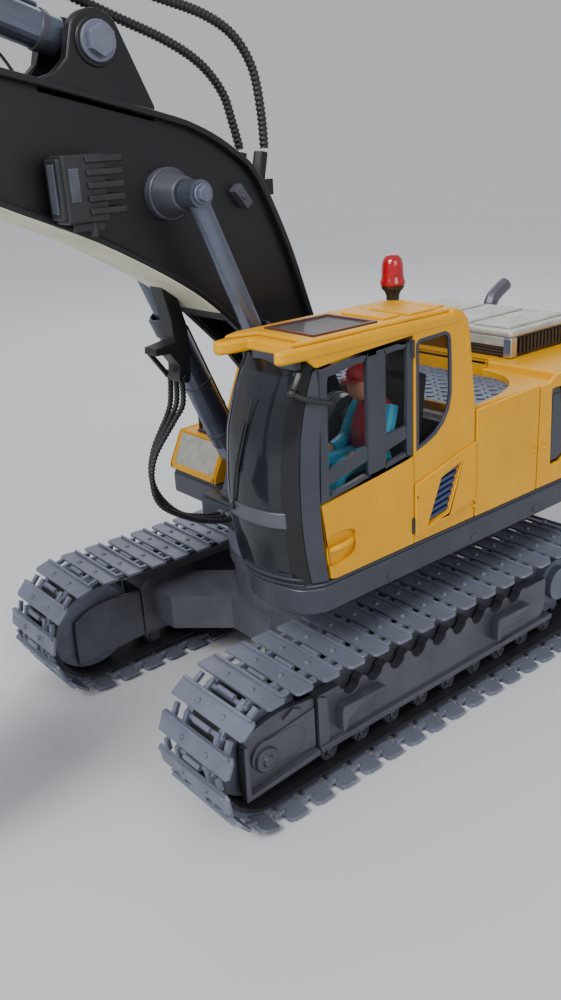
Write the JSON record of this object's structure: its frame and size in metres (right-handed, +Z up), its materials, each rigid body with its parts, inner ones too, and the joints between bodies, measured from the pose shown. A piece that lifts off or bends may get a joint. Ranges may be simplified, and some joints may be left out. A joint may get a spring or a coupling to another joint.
{
  "type": "radio-controlled model excavator",
  "caption": "Tracked model excavator: slewing house with side cab, boom, arm and bucket on working rams and linkage, driven tracks.",
  "frame": {"origin": "on the ground, under the middle of the whole model with its boom forward", "axes": "+Z up, -Y forward (the way the cab faces), +X the side of the cab, which is the driver's left"},
  "size_m": [0.185, 0.4847, 0.3476],
  "materials": {
    "yellow_plastic": "warm yellow moulded shell, satin",
    "slate_plastic": "slate grey skirt, satin",
    "charcoal_metal": "charcoal satin paint on the boom, arm and bucket",
    "blue_grey_metal": "blue-grey satin paint on the tracks, frames and rams",
    "black_plastic": "black",
    "tinted_screen": "black polished moulding that stands for a tinted screen",
    "silver_paint": "silver-grey, fine texture",
    "clear_glazing": "clear sheet",
    "red_lens": "red moulded lens",
    "blue_figure": "light blue clothes of a toy figure",
    "hose_rubber": "black hose"
  },
  "bodies": {
    "undercarriage": {"centre_frame": "blue_grey_metal", "slew_ring_lower": "blue_grey_metal", "track_frame_left": "blue_grey_metal", "track_frame_right": "blue_grey_metal", "track_belt_left": "blue_grey_metal", "track_belt_right": "blue_grey_metal", "idler_yoke_left": "blue_grey_metal", "idler_yoke_right": "blue_grey_metal", "travel_motor_left": "charcoal_metal", "travel_motor_right": "charcoal_metal"},
    "idler_left": {"idler_left": "blue_grey_metal"},
    "idler_right": {"idler_right": "blue_grey_metal"},
    "sprocket_left": {"sprocket_left": "blue_grey_metal"},
    "sprocket_right": {"sprocket_right": "blue_grey_metal"},
    "house": {"slew_ring_upper": "blue_grey_metal", "deck": "slate_plastic", "slew_motor": "charcoal_metal", "boom_bracket": "blue_grey_metal", "boom_foot_pin": "blue_grey_metal", "cab_shell": "yellow_plastic", "windscreen": "tinted_screen", "quarter_glass": "clear_glazing", "roof_hatch": "clear_glazing", "driver_seat": "black_plastic", "driver_figure": "blue_figure", "control_console": "black_plastic", "beacon_base": "black_plastic", "beacon_lens": "red_lens", "left_housing": "yellow_plastic", "engine_housing": "yellow_plastic", "right_housing": "yellow_plastic", "tray_floor": "blue_grey_metal", "engine_hood": "silver_paint", "battery_pack": "black_plastic", "exhaust_pipe": "blue_grey_metal", "counterweight": "yellow_plastic", "swivel_hose_1": "hose_rubber", "swivel_hose_2": "hose_rubber", "swivel_hose_3": "hose_rubber"},
    "slew_pinion": {"slew_pinion": "blue_grey_metal"},
    "power_switch": {"power_switch": "black_plastic"},
    "cab_door": {"cab_door": "yellow_plastic", "door_glass": "clear_glazing"},
    "boom": {"boom": "charcoal_metal", "boom_lamp": "black_plastic", "hose_clamp": "charcoal_metal", "boom_hose_left": "hose_rubber", "boom_hose_right": "hose_rubber"},
    "arm": {"arm": "charcoal_metal"},
    "rocker": {"rocker": "blue_grey_metal"},
    "link": {"link": "blue_grey_metal"},
    "bucket": {"bucket": "charcoal_metal"},
    "boom_ram_left_barrel": {"boom_ram_left_barrel": "blue_grey_metal"},
    "boom_ram_left_rod": {"boom_ram_left_rod": "blue_grey_metal"},
    "boom_ram_right_barrel": {"boom_ram_right_barrel": "blue_grey_metal"},
    "boom_ram_right_rod": {"boom_ram_right_rod": "blue_grey_metal"},
    "arm_ram_barrel": {"arm_ram_barrel": "blue_grey_metal"},
    "arm_ram_rod": {"arm_ram_rod": "blue_grey_metal"},
    "bucket_ram_barrel": {"bucket_ram_barrel": "blue_grey_metal"},
    "bucket_ram_rod": {"bucket_ram_rod": "blue_grey_metal"}
  },
  "joints": [
    {"name": "slew", "type": "hinge", "parent": "undercarriage", "child": "house", "pos_m": [0, 0.0563, 0.079], "axis": [0, 0, 1], "continuous": true},
    {"name": "slew_pinion_spin", "type": "hinge", "parent": "house", "child": "slew_pinion", "pos_m": [0, 0.0813, 0.079], "axis": [0, 0, 1], "continuous": true},
    {"name": "sprocket_left_spin", "type": "hinge", "parent": "undercarriage", "child": "sprocket_left", "pos_m": [0.068, 0.1563, 0.0298], "axis": [1, 0, 0], "continuous": true},
    {"name": "idler_left_spin", "type": "hinge", "parent": "undercarriage", "child": "idler_left", "pos_m": [0.068, -0.0437, 0.0298], "axis": [1, 0, 0], "continuous": true},
    {"name": "sprocket_right_spin", "type": "hinge", "parent": "undercarriage", "child": "sprocket_right", "pos_m": [-0.068, 0.1563, 0.0298], "axis": [1, 0, 0], "continuous": true},
    {"name": "idler_right_spin", "type": "hinge", "parent": "undercarriage", "child": "idler_right", "pos_m": [-0.068, -0.0437, 0.0298], "axis": [1, 0, 0], "continuous": true},
    {"name": "cab_door_swing", "type": "hinge", "parent": "house", "child": "cab_door", "pos_m": [0.082, 0.0402, 0.094], "axis": [0, 0, 1], "range_deg": [0, 85]},
    {"name": "power_switch_slide", "type": "slide", "parent": "house", "child": "power_switch", "axis": [1, 0, 0], "range_m": [0, 0.008]},
    {"name": "boom_lift", "type": "hinge", "parent": "house", "child": "boom", "pos_m": [0, 0.0573, 0.134], "axis": [-1, 0, 0], "range_deg": [-20, 18], "deforming": ["swivel_hose_1", "swivel_hose_2", "swivel_hose_3"]},
    {"name": "boom_ram_left_foot", "type": "hinge", "parent": "house", "child": "boom_ram_left_barrel", "pos_m": [0.033, 0.0323, 0.109], "axis": [-1, 0, 0], "range_deg": [-19, 17]},
    {"name": "boom_ram_left_pin", "type": "hinge", "parent": "boom", "child": "boom_ram_left_rod", "pos_m": [0.033, -0.0223, 0.2375], "axis": [-1, 0, 0], "range_deg": [-2, 2]},
    {"name": "boom_ram_right_foot", "type": "hinge", "parent": "house", "child": "boom_ram_right_barrel", "pos_m": [-0.033, 0.0323, 0.109], "axis": [-1, 0, 0], "range_deg": [-19, 17]},
    {"name": "boom_ram_right_pin", "type": "hinge", "parent": "boom", "child": "boom_ram_right_rod", "pos_m": [-0.033, -0.0223, 0.2375], "axis": [-1, 0, 0], "range_deg": [-2, 2]},
    {"name": "arm_swing", "type": "hinge", "parent": "boom", "child": "arm", "pos_m": [0, -0.2037, 0.302], "axis": [-1, 0, 0], "range_deg": [-3, 52]},
    {"name": "arm_ram_foot", "type": "hinge", "parent": "boom", "child": "arm_ram_barrel", "pos_m": [0, -0.0447, 0.289], "axis": [-1, 0, 0], "range_deg": [-3.2, 0.6]},
    {"name": "arm_ram_pin", "type": "hinge", "parent": "arm", "child": "arm_ram_rod", "pos_m": [0, -0.19827, 0.34062], "axis": [-1, 0, 0], "range_deg": [-55.5, 3.6]},
    {"name": "bucket_curl", "type": "hinge", "parent": "arm", "child": "bucket", "pos_m": [0, -0.22451, 0.12518], "axis": [-1, 0, 0], "range_deg": [0, 80]},
    {"name": "rocker_turn", "type": "hinge", "parent": "arm", "child": "rocker", "pos_m": [0, -0.22656, 0.15374], "axis": [-1, 0, 0], "range_deg": [0, 80.5]},
    {"name": "link_turn", "type": "hinge", "parent": "rocker", "child": "link", "pos_m": [0, -0.23745, 0.13697], "axis": [-1, 0, 0], "range_deg": [-80.5, 0]},
    {"name": "bucket_ram_foot", "type": "hinge", "parent": "arm", "child": "bucket_ram_barrel", "pos_m": [0, -0.2335, 0.28397], "axis": [-1, 0, 0], "range_deg": [0, 5.5]},
    {"name": "bucket_ram_pin", "type": "hinge", "parent": "rocker", "child": "bucket_ram_rod", "pos_m": [0, -0.23745, 0.13697], "axis": [-1, 0, 0], "range_deg": [-75.5, 0]}
  ],
  "couplings": [
    {"joint": "slew_pinion_spin", "follows": "slew", "ratio": -4.8571},
    {"joint": "idler_left_spin", "follows": "sprocket_left_spin", "ratio": 1},
    {"joint": "idler_right_spin", "follows": "sprocket_right_spin", "ratio": 1},
    {"joint": "boom_ram_left_foot", "follows": "boom_lift", "ratio": 0.91},
    {"joint": "boom_ram_left_pin", "follows": "boom_lift", "ratio": -0.09},
    {"joint": "boom_ram_right_foot", "follows": "boom_lift", "ratio": 0.91},
    {"joint": "boom_ram_right_pin", "follows": "boom_lift", "ratio": -0.09},
    {"joint": "arm_ram_foot", "follows": "arm_swing", "ratio": -0.053},
    {"joint": "arm_ram_pin", "follows": "arm_swing", "ratio": -1.053},
    {"joint": "rocker_turn", "follows": "bucket_curl", "ratio": 1},
    {"joint": "link_turn", "follows": "bucket_curl", "ratio": -1},
    {"joint": "bucket_ram_foot", "follows": "bucket_curl", "ratio": 0.063},
    {"joint": "bucket_ram_pin", "follows": "bucket_curl", "ratio": -0.937}
  ]
}
